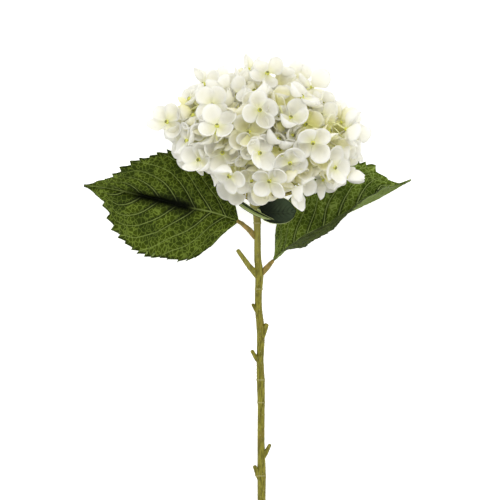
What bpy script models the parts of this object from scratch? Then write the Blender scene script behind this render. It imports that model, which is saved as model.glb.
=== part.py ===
"""A cut mophead hydrangea, laid on its side: a woody stem with its nodes, stubs and four leaves, and a
domed head of 108 four-sepalled florets.

The florets are carried as on the living plant. The stem ends in a hub, ten branches leave the hub, each
branch ends in a small knot, and from every knot a few sprays of three florets fan out to the surface.

Metres, +Z up. The surface that the flower lies on is z = 0, and the stem points along +Y to the head."""

import math
import random

import bmesh
import bpy
import numpy as np
from mathutils import Matrix, Vector

# Driving dimensions.
HUB = Vector((0.0085, 0.0932, 0.0605))  # where the stem ends and the head's branches begin
HEAD_CENTRE = Vector((0.0156, 0.1508, 0.0735))
HEAD_ACROSS = 0.0800  # semi-axes of the surface that the florets' centres lie on
HEAD_ALONG = 0.0500
HEAD_NEAR = 0.0795
HEAD_OPENING = math.radians(130)  # florets reach this far from the tip of the head, round to its underside
CUT_END = Vector((0.0128, -0.2100, 0.0036))  # the lower end of the stem

SPRAYS = 36
FLORETS_IN_SPRAY = 3
FLORET_RADIUS = 0.0150
FLORET_THICKNESS = 0.0010
GAP = 0.0003  # between pieces that touch

# Lobes and hollows of the head: (direction as across, along, near), share of the radius, width in radians.
LOBES = (
    ((0.90, 0.44, 0.00), -0.31, 0.36),
    ((-0.80, 0.61, 0.00), -0.29, 0.32),
    ((-0.98, 0.20, 0.00), 0.12, 0.30),
    ((0.97, -0.22, 0.00), 0.11, 0.50),
    ((-0.66, -0.75, 0.10), -0.12, 0.25),
)

STEM_AXIS = (HEAD_CENTRE - HUB).normalized()
ACROSS = Vector((1, 0, 0)).cross(STEM_AXIS).cross(STEM_AXIS).normalized() * -1
NEAR = ACROSS.cross(STEM_AXIS)
HEAD_AXES = np.array([ACROSS, STEM_AXIS, NEAR])  # rows


def material(name, colour, roughness):
    made = bpy.data.materials.new(name)
    made.use_nodes = True
    shader = made.node_tree.nodes["Principled BSDF"]
    shader.inputs["Base Color"].default_value = (*colour, 1)
    shader.inputs["Roughness"].default_value = roughness
    shader.inputs["Metallic"].default_value = 0
    return made


def new_object(name, shape, finish):
    """An object from (points, faces). Its faces are turned outwards."""
    points, faces = shape
    mesh = bpy.data.meshes.new(name)
    mesh.from_pydata([tuple(p) for p in points], [], faces)
    work = bmesh.new()
    work.from_mesh(mesh)
    bmesh.ops.recalc_face_normals(work, faces=work.faces)
    work.to_mesh(mesh)
    work.free()
    mesh.materials.append(finish)
    mesh.shade_smooth()
    made = bpy.data.objects.new(name, mesh)
    bpy.context.scene.collection.objects.link(made)
    return made


def grown_together(name, shapes, finish):
    """One closed body from closed shapes that overlap, as the parts of a plant grow out of each other."""
    body = new_object(name, shapes[0], finish)
    others = []
    for shape in shapes[1:]:
        other = new_object(name + "_piece", shape, finish)
        join = body.modifiers.new("Grown together", "BOOLEAN")
        join.operation = "UNION"
        join.object = other
        join.solver = "MANIFOLD"  # EXACT loses some of these thin, steeply crossing stalks
        others.append(other)
    graph = bpy.context.evaluated_depsgraph_get()
    joined = bpy.data.meshes.new_from_object(body.evaluated_get(graph))
    body.modifiers.clear()
    body.data = joined
    for other in others:
        bpy.data.objects.remove(other)
    return body


# ---------------------------------------------------------------- shapes

ROWS_IN_SPAN = 2  # rings or rows of points from one given point to the next


def smooth_path(points, per_span):
    """Points along a Catmull-Rom curve through the given ones, as tuples of any length."""
    rows = [np.array(p, float) for p in points]
    rows = [2 * rows[0] - rows[1], *rows, 2 * rows[-1] - rows[-2]]
    path = []
    for before, start, end, after in zip(rows, rows[1:], rows[2:], rows[3:]):
        for step in range(per_span):
            t = step / per_span
            path.append(
                0.5
                * (
                    2 * start
                    + (end - before) * t
                    + (2 * before - 5 * start + 4 * end - after) * t**2
                    + (3 * start - before - 3 * end + after) * t**3
                )
            )
    path.append(rows[-2])
    return path


def tube(path, radii, sides, first_cut=None, side=None):
    """A closed tube along a path, its rings carried along without twist. first_cut is the normal of the
    first ring where that end is cut at a slant, and side is where the rings start."""
    path = [Vector(p) for p in path]
    points, faces = [], []
    for i, (centre, radius) in enumerate(zip(path, radii)):
        along = (path[min(i + 1, len(path) - 1)] - path[max(i - 1, 0)]).normalized()
        if side is None:
            side = along.orthogonal()
        side = (side - along * side.dot(along)).normalized()
        other = along.cross(side)
        for k in range(sides):
            turn = math.tau * k / sides
            spoke = (side * math.cos(turn) + other * math.sin(turn)) * radius
            if i == 0 and first_cut is not None:
                spoke -= along * (spoke.dot(first_cut) / along.dot(first_cut))
            points.append(centre + spoke)
    for i in range(len(path) - 1):
        for k in range(sides):
            a, b = i * sides + k, i * sides + (k + 1) % sides
            faces.append((a, b, b + sides, a + sides))
    faces.append(tuple(reversed(range(sides))))
    faces.append(tuple(range(len(points) - sides, len(points))))
    return points, faces


def ball(centre, radius, divisions):
    work = bmesh.new()
    bmesh.ops.create_icosphere(
        work, subdivisions=divisions, radius=radius, matrix=Matrix.Translation(centre)
    )
    points = [v.co.copy() for v in work.verts]
    faces = [tuple(v.index for v in f.verts) for f in work.faces]
    work.free()
    return points, faces


# ---------------------------------------------------------------- stem

# The stem from its cut end to the hub: x, y, z and radius.
STEM_LINE = (
    (*CUT_END, 0.0034),
    (0.0124, -0.1900, 0.0072, 0.0031),
    (0.0130, -0.1690, 0.0109, 0.0034),
    (0.0126, -0.1500, 0.0146, 0.0030),
    (0.0127, -0.1280, 0.0187, 0.0033),
    (0.0121, -0.1000, 0.0240, 0.0027),
    (0.0123, -0.0720, 0.0292, 0.0027),
    (0.0119, -0.0500, 0.0333, 0.0031),
    (0.0114, -0.0330, 0.0365, 0.0026),
    (0.0120, -0.0110, 0.0407, 0.0031),
    (0.0102, 0.0060, 0.0439, 0.0027),
    (0.0099, 0.0200, 0.0465, 0.0026),
    (0.0108, 0.0360, 0.0495, 0.0031),
    (0.0094, 0.0480, 0.0517, 0.0026),
    (0.0092, 0.0620, 0.0544, 0.0024),
    (0.0090, 0.0760, 0.0570, 0.0025),
    (*HUB, 0.0036),
)
STEM_SIDES = 10
CUT_SLANT = Vector((0.35, 0.85, -0.30)).normalized()  # square to the cut face
HUB_RADIUS = 0.0056

# Stubs left where shoots and leaves were taken off: start inside the stem, end, first and last radius.
STUBS = (
    ((0.0108, 0.0330, 0.0490), (-0.0068, 0.0556, 0.0560), 0.0026, 0.0014),
    ((0.0112, 0.0040, 0.0437), (0.0052, 0.0122, 0.0468), 0.0020, 0.0010),
    ((0.0118, -0.0165, 0.0400), (0.0166, -0.0040, 0.0440), 0.0024, 0.0017),
    ((0.0118, -0.0360, 0.0362), (0.0046, -0.0254, 0.0396), 0.0020, 0.0012),
    ((0.0128, -0.1140, 0.0216), (0.0194, -0.1020, 0.0262), 0.0021, 0.0012),
    ((0.0124, -0.1320, 0.0182), (0.0068, -0.1196, 0.0222), 0.0026, 0.0014),
    ((0.0128, -0.1740, 0.0102), (0.0188, -0.1630, 0.0150), 0.0024, 0.0013),
)
STUB_SIDES = 7
STUB_BEND = Vector((0, -0.0010, 0))  # how far the middle of a stub sags from straight


def make_stem(finish):
    line = smooth_path(STEM_LINE, ROWS_IN_SPAN)
    shapes = [
        tube([p[:3] for p in line], [p[3] for p in line], STEM_SIDES, CUT_SLANT),
        ball(HUB, HUB_RADIUS, 2),
    ]
    for start, end, first, last in STUBS:
        middle = Vector(start).lerp(Vector(end), 0.5) + STUB_BEND
        radii = [first, (first + last) / 2, last]
        shapes.append(tube([start, middle, end], radii, STUB_SIDES))
    return grown_together("stem", shapes, finish)


# ---------------------------------------------------------------- leaves

# Half-width of a leaf's blade, as a share of the widest, from the base at 0 to the foot of its tip at 1.
BLADE_OUTLINE = (
    (0.00, 0.05),
    (0.05, 0.26),
    (0.12, 0.58),
    (0.20, 0.78),
    (0.35, 0.94),
    (0.55, 1.00),
    (0.70, 0.95),
    (0.80, 0.81),
    (0.88, 0.64),
    (0.94, 0.42),
    (1.00, 0.15),
    (1.08, 0.06),
    (1.20, 0.02),
)
BLADE_THICKNESS = 0.0009
BLADE_COLUMNS = 4  # faces across each half


class Leaf:
    """A blade on either side of a midrib. Slopes are how far each half stands above the surface it lies
    over, in degrees: 0 is level, 90 stands up and more folds back over the other half. They are evenly
    spaced from the base to the tip. The blade narrows to its pointed tip from tip_from on."""

    def __init__(self, name, midrib, left, right, left_slopes, right_slopes, curl, tip_from):
        self.name = name
        self.midrib = midrib
        self.half_width = (left, right)
        self.slopes = (left_slopes, right_slopes)
        self.curl = curl
        self.tip_from = tip_from


LEAVES = (
    Leaf(
        "leaf_left",
        midrib=(
            (-0.0068, 0.0790, 0.0558),
            (-0.0169, 0.0829, 0.0515),
            (-0.0290, 0.0866, 0.0465),
            (-0.0452, 0.0899, 0.0390),
            (-0.0615, 0.0944, 0.0310),
            (-0.0804, 0.0990, 0.0220),
            (-0.1028, 0.1041, 0.0120),
            (-0.1194, 0.1071, 0.0050),
            (-0.1331, 0.1082, 0.0010),
        ),
        left=0.0465,
        right=0.0410,
        left_slopes=(8, 10, 12, 10),
        right_slopes=(-12, -14, 0, 34, 50, 50),
        curl=-8,
        tip_from=0.86,
    ),
    Leaf(
        "leaf_right",
        midrib=(
            (0.0220, 0.0475, 0.0488),
            (0.0330, 0.0572, 0.0415),
            (0.0465, 0.0675, 0.0340),
            (0.0640, 0.0755, 0.0255),
            (0.0764, 0.0832, 0.0190),
            (0.0920, 0.0905, 0.0120),
            (0.1094, 0.0989, 0.0060),
            (0.1225, 0.1066, 0.0024),
            (0.1350, 0.1137, 0.0010),
        ),
        left=0.0420,
        right=0.0400,
        left_slopes=(-55, -30, -8, -4, 0, 0),
        right_slopes=(100, 74, 80, 90, 100, 104),
        curl=4,
        tip_from=0.93,
    ),
    Leaf(
        "leaf_small_right",
        midrib=(
            (0.0120, 0.0866, 0.0588),
            (0.0210, 0.0860, 0.0592),
            (0.0280, 0.0852, 0.0580),
            (0.0350, 0.0856, 0.0550),
            (0.0420, 0.0870, 0.0500),
        ),
        left=0.0110,
        right=0.0100,
        left_slopes=(8, 4, 0, 0),
        right_slopes=(-20, -14, -8, 0),
        curl=0,
        tip_from=1.0,
    ),
    Leaf(
        "leaf_small_left",
        midrib=(
            (0.0036, 0.0890, 0.0598),
            (-0.0040, 0.0930, 0.0604),
            (-0.0110, 0.0970, 0.0600),
            (-0.0180, 0.1010, 0.0580),
            (-0.0240, 0.1050, 0.0550),
        ),
        left=0.0090,
        right=0.0090,
        left_slopes=(84, 80, 78, 70),
        right_slopes=(84, 96, 100, 90),
        curl=0,
        tip_from=1.0,
    ),
)


def value_along(values, share):
    """A value read from a few that are evenly spaced along the leaf."""
    return float(np.interp(share, np.linspace(0, 1, len(values)), values))


def outline_at(share):
    places, widths = zip(*BLADE_OUTLINE)
    return float(np.interp(share, places, widths))


def blade_rows(leaf):
    """Rows of points across the blade, left edge to right edge, from base to tip."""
    midrib = smooth_path(leaf.midrib, ROWS_IN_SPAN)
    steps = [np.linalg.norm(after - before) for before, after in zip(midrib, midrib[1:])]
    shares = np.cumsum([0, *steps]) / sum(steps)
    rows = []
    for i, (centre, share) in enumerate(zip(midrib, shares)):
        ahead = midrib[min(i + 1, len(midrib) - 1)] - midrib[max(i - 1, 0)]
        level = Vector((-ahead[1], ahead[0], 0)).normalized()
        row = []
        for side, slopes, width in zip((1, -1), leaf.slopes, leaf.half_width):
            slope = value_along(slopes, share)
            place = Vector(centre)
            half = []
            for column in range(BLADE_COLUMNS):
                turn = math.radians(slope + leaf.curl * column / BLADE_COLUMNS)
                step = width * outline_at(share / leaf.tip_from) / BLADE_COLUMNS
                place = place + step * (
                    side * math.cos(turn) * level + math.sin(turn) * Vector((0, 0, 1))
                )
                half.append(place)
            row.append(half)
        rows.append([*reversed(row[0]), Vector(centre), *row[1]])
    return rows


def make_blade(leaf, finish):
    """The blade as a closed sheet: an upper skin, a lower one, and the rim between them."""
    rows = blade_rows(leaf)
    count, width = len(rows), len(rows[0])
    upper = [p for row in rows for p in row]
    lower = []
    for i in range(count):
        for j in range(width):
            along = rows[min(i + 1, count - 1)][j] - rows[max(i - 1, 0)][j]
            over = rows[i][min(j + 1, width - 1)] - rows[i][max(j - 1, 0)]
            face = over.cross(along).normalized()
            lower.append(rows[i][j] - face * BLADE_THICKNESS)
    faces = []
    size = count * width
    for i in range(count - 1):
        for j in range(width - 1):
            a = i * width + j
            faces.append((a, a + 1, a + 1 + width, a + width))
            faces.append((size + a + width, size + a + 1 + width, size + a + 1, size + a))
    rim = [j for j in range(width)]
    rim += [i * width + width - 1 for i in range(1, count)]
    rim += [(count - 1) * width + j for j in range(width - 2, -1, -1)]
    rim += [i * width for i in range(count - 2, 0, -1)]
    for a, b in zip(rim, rim[1:] + rim[:1]):
        faces.append((b, a, a + size, b + size))
    return new_object(leaf.name + "_blade", (upper + lower, faces), finish)


# Leaf stalks: the path from the stem's skin to the blade's base, with a radius at each point.
PETIOLES = {
    "leaf_left_petiole": (
        (0.0063, 0.0672, 0.0555, 0.0020),
        (0.0024, 0.0718, 0.0566, 0.0019),
        (-0.0030, 0.0762, 0.0570, 0.0013),
        (-0.0064, 0.0787, 0.0561, 0.0011),
    ),
    "leaf_right_petiole": (
        (0.0141, 0.0384, 0.0500, 0.0019),
        (0.0166, 0.0412, 0.0504, 0.0020),
        (0.0194, 0.0444, 0.0500, 0.0015),
        (0.0216, 0.0470, 0.0490, 0.0011),
    ),
}
PETIOLE_SIDES = 7


def make_petiole(name, line, finish):
    """Its foot is cut to lie along the stem's side."""
    path = smooth_path(line, ROWS_IN_SPAN)
    foot = Vector((1, 0, 0))
    shape = tube([p[:3] for p in path], [p[3] for p in path], PETIOLE_SIDES, foot)
    return new_object(name, shape, finish)


# ---------------------------------------------------------------- branches in the head

TOP_BRANCHES = 3
RIM_BRANCHES = 7
TOP_SPREAD, RIM_SPREAD = math.radians(24), math.radians(64)  # from the stem's axis
TOP_TURN, RIM_TURN = 1.1, 0.3  # radians round the stem's axis to the first branch
TOP_LENGTH, RIM_LENGTH = 0.060, 0.0385
BRANCH_FOOT_RADIUS = 0.0019
BRANCH_RADIUS = 0.0015
BRANCH_SIDES = 7
KNOT_RADIUS = 0.0040


def branch_knots():
    """The knot at the end of each branch, as points in the part's frame."""
    knots = []
    for count, spread, length, turn in (
        (TOP_BRANCHES, TOP_SPREAD, TOP_LENGTH, TOP_TURN),
        (RIM_BRANCHES, RIM_SPREAD, RIM_LENGTH, RIM_TURN),
    ):
        for k in range(count):
            bearing = turn + math.tau * k / count
            ray = STEM_AXIS * math.cos(spread) + math.sin(spread) * (
                ACROSS * math.cos(bearing) + NEAR * math.sin(bearing)
            )
            knots.append(HUB + ray * length)
    return knots


def make_branch(name, knot, finish):
    ray = (knot - HUB).normalized()
    start = HUB + ray * (HUB_RADIUS + GAP)
    path = [start, start.lerp(knot, 0.5), knot]
    radii = [BRANCH_FOOT_RADIUS, BRANCH_RADIUS, BRANCH_RADIUS]
    shapes = [tube(path, radii, BRANCH_SIDES), ball(knot, KNOT_RADIUS, 2)]
    return grown_together(name, shapes, finish)


# ---------------------------------------------------------------- where the florets sit

SPRAY_SPACING = 0.0410
SPRAY_REACH = 0.0138  # from the middle of a spray to its florets
LAYER_DEPTH = 0.0056  # florets overlap in four layers, this far apart
SPACINGS = np.array((0.0314, 0.0240, 0.0182, 0.0178))  # of florets 0, 1, 2 and 3 layers apart
LAYERS = len(SPACINGS)
FORK_DEPTH = 0.0205  # pedicels run straight in to this depth, then turn to their fork
PRESSED_HEIGHT = 0.0030  # centre of a floret that the head lies on
LEAN = math.radians(7)  # most that a floret leans from facing straight out
PUSH = 0.3  # share of what two points lack in spacing that each moves in one round
SPRAY_ROUNDS, FLORET_ROUNDS = 60, 12
LAYER_ROUNDS = 15  # times that the florets choose their layers anew
LAYER_ROOM = 1.1  # room a floret looks for in a layer, as a share of its spacing
SEPAL_ROOM = 0.94  # share of the room to its neighbours that a floret fills
SPIN_SEED, FACING_SEED = 17, 11


def head_radius(directions):
    """How far the surface of the florets' centres lies from the head's centre, along unit directions."""
    across, along, near = directions.T
    radius = 1 / np.sqrt(
        (across / HEAD_ACROSS) ** 2 + (along / HEAD_ALONG) ** 2 + (near / HEAD_NEAR) ** 2
    )
    for towards, share, width in LOBES:
        towards = np.array(towards) / np.linalg.norm(towards)
        angle = np.arccos(np.clip(directions @ towards, -1, 1))
        radius = radius * (1 + share * np.exp(-((angle / width) ** 2)))
    return radius


def on_head(points):
    """The points moved onto the head's surface, and up from its open underside."""
    directions = points / np.linalg.norm(points, axis=1)[:, None]
    lowest = math.cos(HEAD_OPENING)
    low = directions[:, 1] < lowest
    sideways = np.hypot(directions[low, 0], directions[low, 2])
    for k in (0, 2):
        directions[low, k] *= math.sin(HEAD_OPENING) / sideways
    directions[low, 1] = lowest
    return directions * head_radius(directions)[:, None]


def facing_out(places):
    """Unit directions halfway between straight out from the centre and square to the head's surface."""
    outward = places / np.linalg.norm(places, axis=1)[:, None]
    square = places / np.array((HEAD_ACROSS, HEAD_ALONG, HEAD_NEAR)) ** 2
    square /= np.linalg.norm(square, axis=1)[:, None]
    facing = outward + square
    return facing / np.linalg.norm(facing, axis=1)[:, None]


def gaps_between(points, depths):
    """Vectors between each two points, and their lengths, measured at the deeper one's depth, where the
    other's pedicel goes past it."""
    out = facing_out(points)
    deeper = np.maximum(depths[:, None], depths[None])[:, :, None]
    between = points[:, None] - points[None] - (out[:, None] - out[None]) * deeper
    distance = np.linalg.norm(between, axis=2)
    np.fill_diagonal(distance, np.inf)
    return between, distance


def spread_apart(points, depths, spacings, rounds):
    """The points pushed along the head until each pair has its spacing."""
    for _ in range(rounds):
        between, distance = gaps_between(points, depths)
        push = np.clip(spacings - distance, 0, None) / distance
        points = on_head(points + PUSH * (between * push[:, :, None]).sum(axis=1))
    return points


def spray_places():
    """Sprays spaced by the golden angle from the tip of the head to its open underside."""
    places = []
    for k in range(SPRAYS):
        along = 1 - (1 - math.cos(HEAD_OPENING)) * (k + 0.5) / SPRAYS
        round_axis = math.sqrt(1 - along**2)
        turn = k * math.pi * (3 - math.sqrt(5))
        places.append((round_axis * math.cos(turn), along, round_axis * math.sin(turn)))
    level = np.zeros(SPRAYS)
    return spread_apart(on_head(np.array(places)), level, SPRAY_SPACING, SPRAY_ROUNDS)


def layers_of(places, layers):
    """Moves each floret to the layer where it has the most room."""
    for i, place in enumerate(places):
        distance = np.linalg.norm(places - place, axis=1)
        distance[i] = np.inf
        crowd = []
        for layer in range(LAYERS):
            wanted = LAYER_ROOM * SPACINGS[abs(layers - layer)]
            crowd.append((np.clip(wanted - distance, 0, None) ** 2).sum())
        layers[i] = int(np.argmin(crowd))
    return layers


def floret_places():
    """Each floret's centre on the head in head axes, three to a spray, its depth and its radius."""
    chance = random.Random(SPIN_SEED)
    places = []
    for spray in spray_places():
        out = Vector(spray).normalized()
        side = out.orthogonal().normalized()
        turn = chance.uniform(0, math.tau)
        for k in range(FLORETS_IN_SPRAY):
            angle = turn + math.tau * k / FLORETS_IN_SPRAY
            reach = side * math.cos(angle) + out.cross(side) * math.sin(angle)
            places.append(Vector(spray) + reach * SPRAY_REACH)
    places = on_head(np.array(places))
    layers = np.arange(len(places)) % LAYERS
    for _ in range(LAYER_ROUNDS):
        layers = layers_of(places, layers)
        spacings = SPACINGS[abs(layers[:, None] - layers[None])]
        places = spread_apart(places, layers * LAYER_DEPTH, spacings, FLORET_ROUNDS)
    distance = gaps_between(places, layers * LAYER_DEPTH)[1]
    room = np.clip(SEPAL_ROOM * (distance / spacings).min(axis=1), 0, 1)
    return places, layers * LAYER_DEPTH, room * FLORET_RADIUS


def florets():
    """Every floret, in the part's frame: its centre, facing, radius and where its pedicel turns to the fork."""
    chance = random.Random(FACING_SEED)
    places, depths, radii = floret_places()
    found = []
    for place, out, depth, radius in zip(places, facing_out(places), depths, radii):
        out = Vector(out @ HEAD_AXES)
        centre = HEAD_CENTRE + Vector(place @ HEAD_AXES) - out * depth
        fork_end = centre - out * (FORK_DEPTH - depth)
        lean = Matrix.Rotation(chance.uniform(0, LEAN), 3, out.orthogonal())
        spin = Matrix.Rotation(chance.uniform(0, math.tau), 3, out)
        facing = spin @ (lean @ out)
        height = centre.z - PRESSED_HEIGHT - depth
        if height < radius:
            down = Vector((0, 0, -1))
            facing = down.lerp(facing, max(0, height / radius)).normalized()
            centre.z = max(centre.z, PRESSED_HEIGHT + depth)
        found.append((centre, facing, radius, fork_end))
    return found


# ---------------------------------------------------------------- florets and their sprays

SEPALS = 4
SEPAL_POINTS = ((-27, 0.97), (27, 0.97), (45, 0.52))  # degrees from the sepal's middle, reach
RIM_POINTS = SEPALS * len(SEPAL_POINTS)
CUP = 0.0027  # how far the tips rise over the eye
PEDICEL_DEPTH = 0.0013  # from a floret's eye back to where its pedicel begins
PEDICEL_TOP_RADIUS = 0.0008
PEDICEL_RADIUS = 0.00065
STALK_RADIUS = 0.0010
STALK_SIDES = 5
FORK_SHARE = 0.30  # how far from its florets towards its knot a spray forks
STRAIGHTNESS = 0.3  # how much a stalk would rather run straight than short


def floret_on_pedicel(centre, facing, radius, turn, path):
    """Four sepals as one thin dish round the eye, with the pedicel that grows out of its back."""
    side = Matrix.Rotation(turn, 3, facing) @ facing.orthogonal().normalized()
    other = facing.cross(side)
    front, back = [], []
    for sepal in range(SEPALS):
        for degrees, reach in SEPAL_POINTS:
            angle = math.radians(degrees) + math.tau * sepal / SEPALS
            spoke = (side * math.cos(angle) + other * math.sin(angle)) * reach
            rim = centre + spoke * radius + facing * CUP * reach**2
            rim.z = max(rim.z, 0)
            front.append(rim)
            back.append(rim - facing * FLORET_THICKNESS)
            back[-1].z = max(back[-1].z, 0)
    radii = [PEDICEL_TOP_RADIUS] + [PEDICEL_RADIUS] * len(path)
    path = [centre - facing * PEDICEL_DEPTH, *path]
    pedicel, pedicel_faces = tube(path, radii, SEPALS, side=side + other)
    open_pedicel = [*pedicel_faces[:-2], pedicel_faces[-1]]  # all but its first cap
    faces = []
    first = 1 + 2 * RIM_POINTS  # of the pedicel's points
    for k in range(RIM_POINTS):
        a, b = 1 + k, 1 + (k + 1) % RIM_POINTS
        faces += [(0, a, b), (a, a + RIM_POINTS, b + RIM_POINTS, b)]
    for sepal in range(SEPALS):
        corner = sepal * len(SEPAL_POINTS)
        left, right, notch = (1 + RIM_POINTS + corner + k for k in range(3))
        notch_before = 1 + RIM_POINTS + (corner - 1) % RIM_POINTS
        # The pedicel looks the other way along the floret's axis, so its corners count backwards.
        before, after = first + (1 - sepal) % SEPALS, first + -sepal % SEPALS
        faces += [
            (before, notch_before, left),
            (before, left, right, after),
            (after, right, notch),
        ]
    faces += [tuple(first + i for i in face) for face in open_pedicel]
    return [centre, *front, *back, *pedicel], faces


def knot_for(group, knots):
    """The knot that is nearest, where one that lies straight behind the florets counts as nearer."""
    middle = sum((centre for centre, *_ in group), Vector()) / len(group)
    facing = sum((facing for _, facing, *_ in group), Vector()).normalized()

    def effort(knot):
        stalk = middle - knot
        return stalk.length - STRAIGHTNESS * stalk.dot(facing)

    return min(knots, key=effort)


def make_spray(name, knot, group, finish):
    """Three florets whose pedicels meet in a fork and go on as one stalk to the branch's knot."""
    chance = random.Random(name)
    middle = sum((turning for *_, turning in group), Vector()) / len(group)
    fork = middle.lerp(knot, FORK_SHARE)
    way = (fork - knot).normalized()
    start = knot + way * (KNOT_RADIUS + GAP)
    end = fork + way * STALK_RADIUS
    shapes = [tube([start, end], [STALK_RADIUS, STALK_RADIUS], STALK_SIDES)]
    for centre, facing, radius, turning in group:
        turn = chance.uniform(0, math.tau / SEPALS)
        end = fork + (fork - turning).normalized() * STALK_RADIUS
        shapes.append(floret_on_pedicel(centre, facing, radius, turn, [turning, end]))
    return grown_together(name, shapes, finish)


def centre_over_origin():
    """Moves the whole flower so that the middle of its footprint is the origin."""
    bodies = list(bpy.context.scene.collection.objects)
    corners = np.array([v.co for body in bodies for v in body.data.vertices])
    low, high = corners.min(axis=0), corners.max(axis=0)
    middle = Vector(((low[0] + high[0]) / 2, (low[1] + high[1]) / 2, low[2]))
    for body in bodies:
        body.data.transform(Matrix.Translation(-middle))


def main():
    for obj in list(bpy.data.objects):
        bpy.data.objects.remove(obj)
    stem_green = material("stem", (0.33, 0.31, 0.10), 0.55)
    leaf_green = material("leaf", (0.09, 0.17, 0.04), 0.5)
    stalk_brown = material("petiole", (0.38, 0.26, 0.09), 0.6)
    sepal_white = material("sepal", (0.92, 0.92, 0.86), 0.6)

    make_stem(stem_green)
    for name, line in PETIOLES.items():
        make_petiole(name, line, stalk_brown)
    for leaf in LEAVES:
        make_blade(leaf, leaf_green)
    knots = branch_knots()
    for k, knot in enumerate(knots):
        make_branch(f"branch_{k + 1:02d}", knot, stem_green)
    all_florets = florets()
    for k in range(SPRAYS):
        group = all_florets[k * FLORETS_IN_SPRAY : (k + 1) * FLORETS_IN_SPRAY]
        knot = knot_for(group, knots)
        make_spray(f"floret_spray_{k + 1:02d}", knot, group, sepal_white)
    centre_over_origin()


main()
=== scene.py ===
"""The looks of a cut mophead hydrangea that lies on a white table.

The sections follow the flower from its cut end to its head, and end with the table, the light and the camera.
Metres, +Z up, with the stem along +Y."""

import math
from dataclasses import dataclass

import bmesh
import bpy
import numpy as np
from mathutils import Matrix, Vector, noise


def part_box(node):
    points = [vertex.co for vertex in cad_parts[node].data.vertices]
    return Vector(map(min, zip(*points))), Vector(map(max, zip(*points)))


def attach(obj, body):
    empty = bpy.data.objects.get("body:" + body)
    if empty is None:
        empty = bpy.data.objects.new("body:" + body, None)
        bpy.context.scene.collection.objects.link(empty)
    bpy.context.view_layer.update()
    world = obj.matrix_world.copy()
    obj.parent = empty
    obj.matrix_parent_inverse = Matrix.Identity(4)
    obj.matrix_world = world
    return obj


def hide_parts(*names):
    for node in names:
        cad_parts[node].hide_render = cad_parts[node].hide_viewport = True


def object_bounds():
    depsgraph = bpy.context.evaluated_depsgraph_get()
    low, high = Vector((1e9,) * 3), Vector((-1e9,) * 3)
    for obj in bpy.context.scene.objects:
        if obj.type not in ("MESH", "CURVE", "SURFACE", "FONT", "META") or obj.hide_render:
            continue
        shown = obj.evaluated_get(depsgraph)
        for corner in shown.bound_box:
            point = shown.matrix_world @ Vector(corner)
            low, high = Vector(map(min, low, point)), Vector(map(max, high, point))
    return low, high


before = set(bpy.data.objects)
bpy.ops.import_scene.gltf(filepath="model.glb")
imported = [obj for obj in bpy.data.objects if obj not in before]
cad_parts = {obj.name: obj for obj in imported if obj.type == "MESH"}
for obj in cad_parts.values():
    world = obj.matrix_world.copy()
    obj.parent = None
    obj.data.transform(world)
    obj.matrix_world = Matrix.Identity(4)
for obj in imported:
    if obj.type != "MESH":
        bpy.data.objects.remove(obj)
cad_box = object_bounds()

# -------------------- stem
# The stem is woody below and greener above, with a ring at each node where leaves stood, stubs where side
# shoots were taken off, small pale pores, and a slanting cut. The bark is rounded from the plain solid.

SAME_POINT = 1e-6  # points of a solid closer than this are one
BARK_CELL = 0.00045  # size of the cells that the rounded skin is built from
BARK_ROUNDS = 6  # how often its facets are smoothed
STREAK_SCALES = (1.0, 0.06, 1.0)  # streaks and ridges are drawn out along the stem
PORE_SCALES = (1.0, 0.45, 1.0)  # and its pores are a little
RIDGE_DEPTH = 0.00022
PORE_HEIGHT = 0.00018
BARK_SWELL = 0.0004  # how far it stands out from the plain solid
SCAR_HEIGHTS = (-0.1260, -0.0660, -0.0475, 0.0260, 0.0790)
SCAR_WIDTH = 0.0013
SCAR_SWELL = 0.0004
CUT_ZONE = 0.015  # how far up from the lower end its cut is looked for
YOUNG_BARK = (0.020, 0.090)  # the heights between which it turns paler
BARK_OLIVES = (0.105, 0.094, 0.004), (0.250, 0.230, 0.024)
BARK_BROWN = (0.200, 0.140, 0.022)
BARK_YOUNG = (0.330, 0.310, 0.080)
BARK_PORE = (0.420, 0.380, 0.190)
BARK_SCAR = (0.460, 0.420, 0.200)
CUT_WOOD = (0.560, 0.540, 0.310)
SHINE = 0.25  # of bark, stalks and sepals, half of the shader's own


class Value:
    """An output socket of a node tree. Arithmetic on it adds Math nodes to the tree."""

    def __init__(self, nodes, socket):
        self.nodes = nodes
        self.socket = socket

    def math(self, operation, *values):
        return self.nodes.add("ShaderNodeMath", dict(enumerate(values)), operation=operation)

    def __add__(self, other):
        return self.math("ADD", self, other)

    def __sub__(self, other):
        return self.math("SUBTRACT", self, other)

    def __rsub__(self, other):
        return self.math("SUBTRACT", other, self)

    def __mul__(self, other):
        return self.math("MULTIPLY", self, other)

    def __truediv__(self, other):
        return self.math("DIVIDE", self, other)

    def __pow__(self, other):
        return self.math("POWER", self, other)

    __radd__ = __add__
    __rmul__ = __mul__

    def smooth(self, low, high):
        """0 up to low, 1 from high on, and a smooth step between them."""
        values = {0: self, 1: low, 2: high}
        return self.nodes.add("ShaderNodeMapRange", values, interpolation_type="SMOOTHSTEP")

    def output(self, name):
        """Another output of the same node."""
        return Value(self.nodes, self.socket.node.outputs[name])


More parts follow.
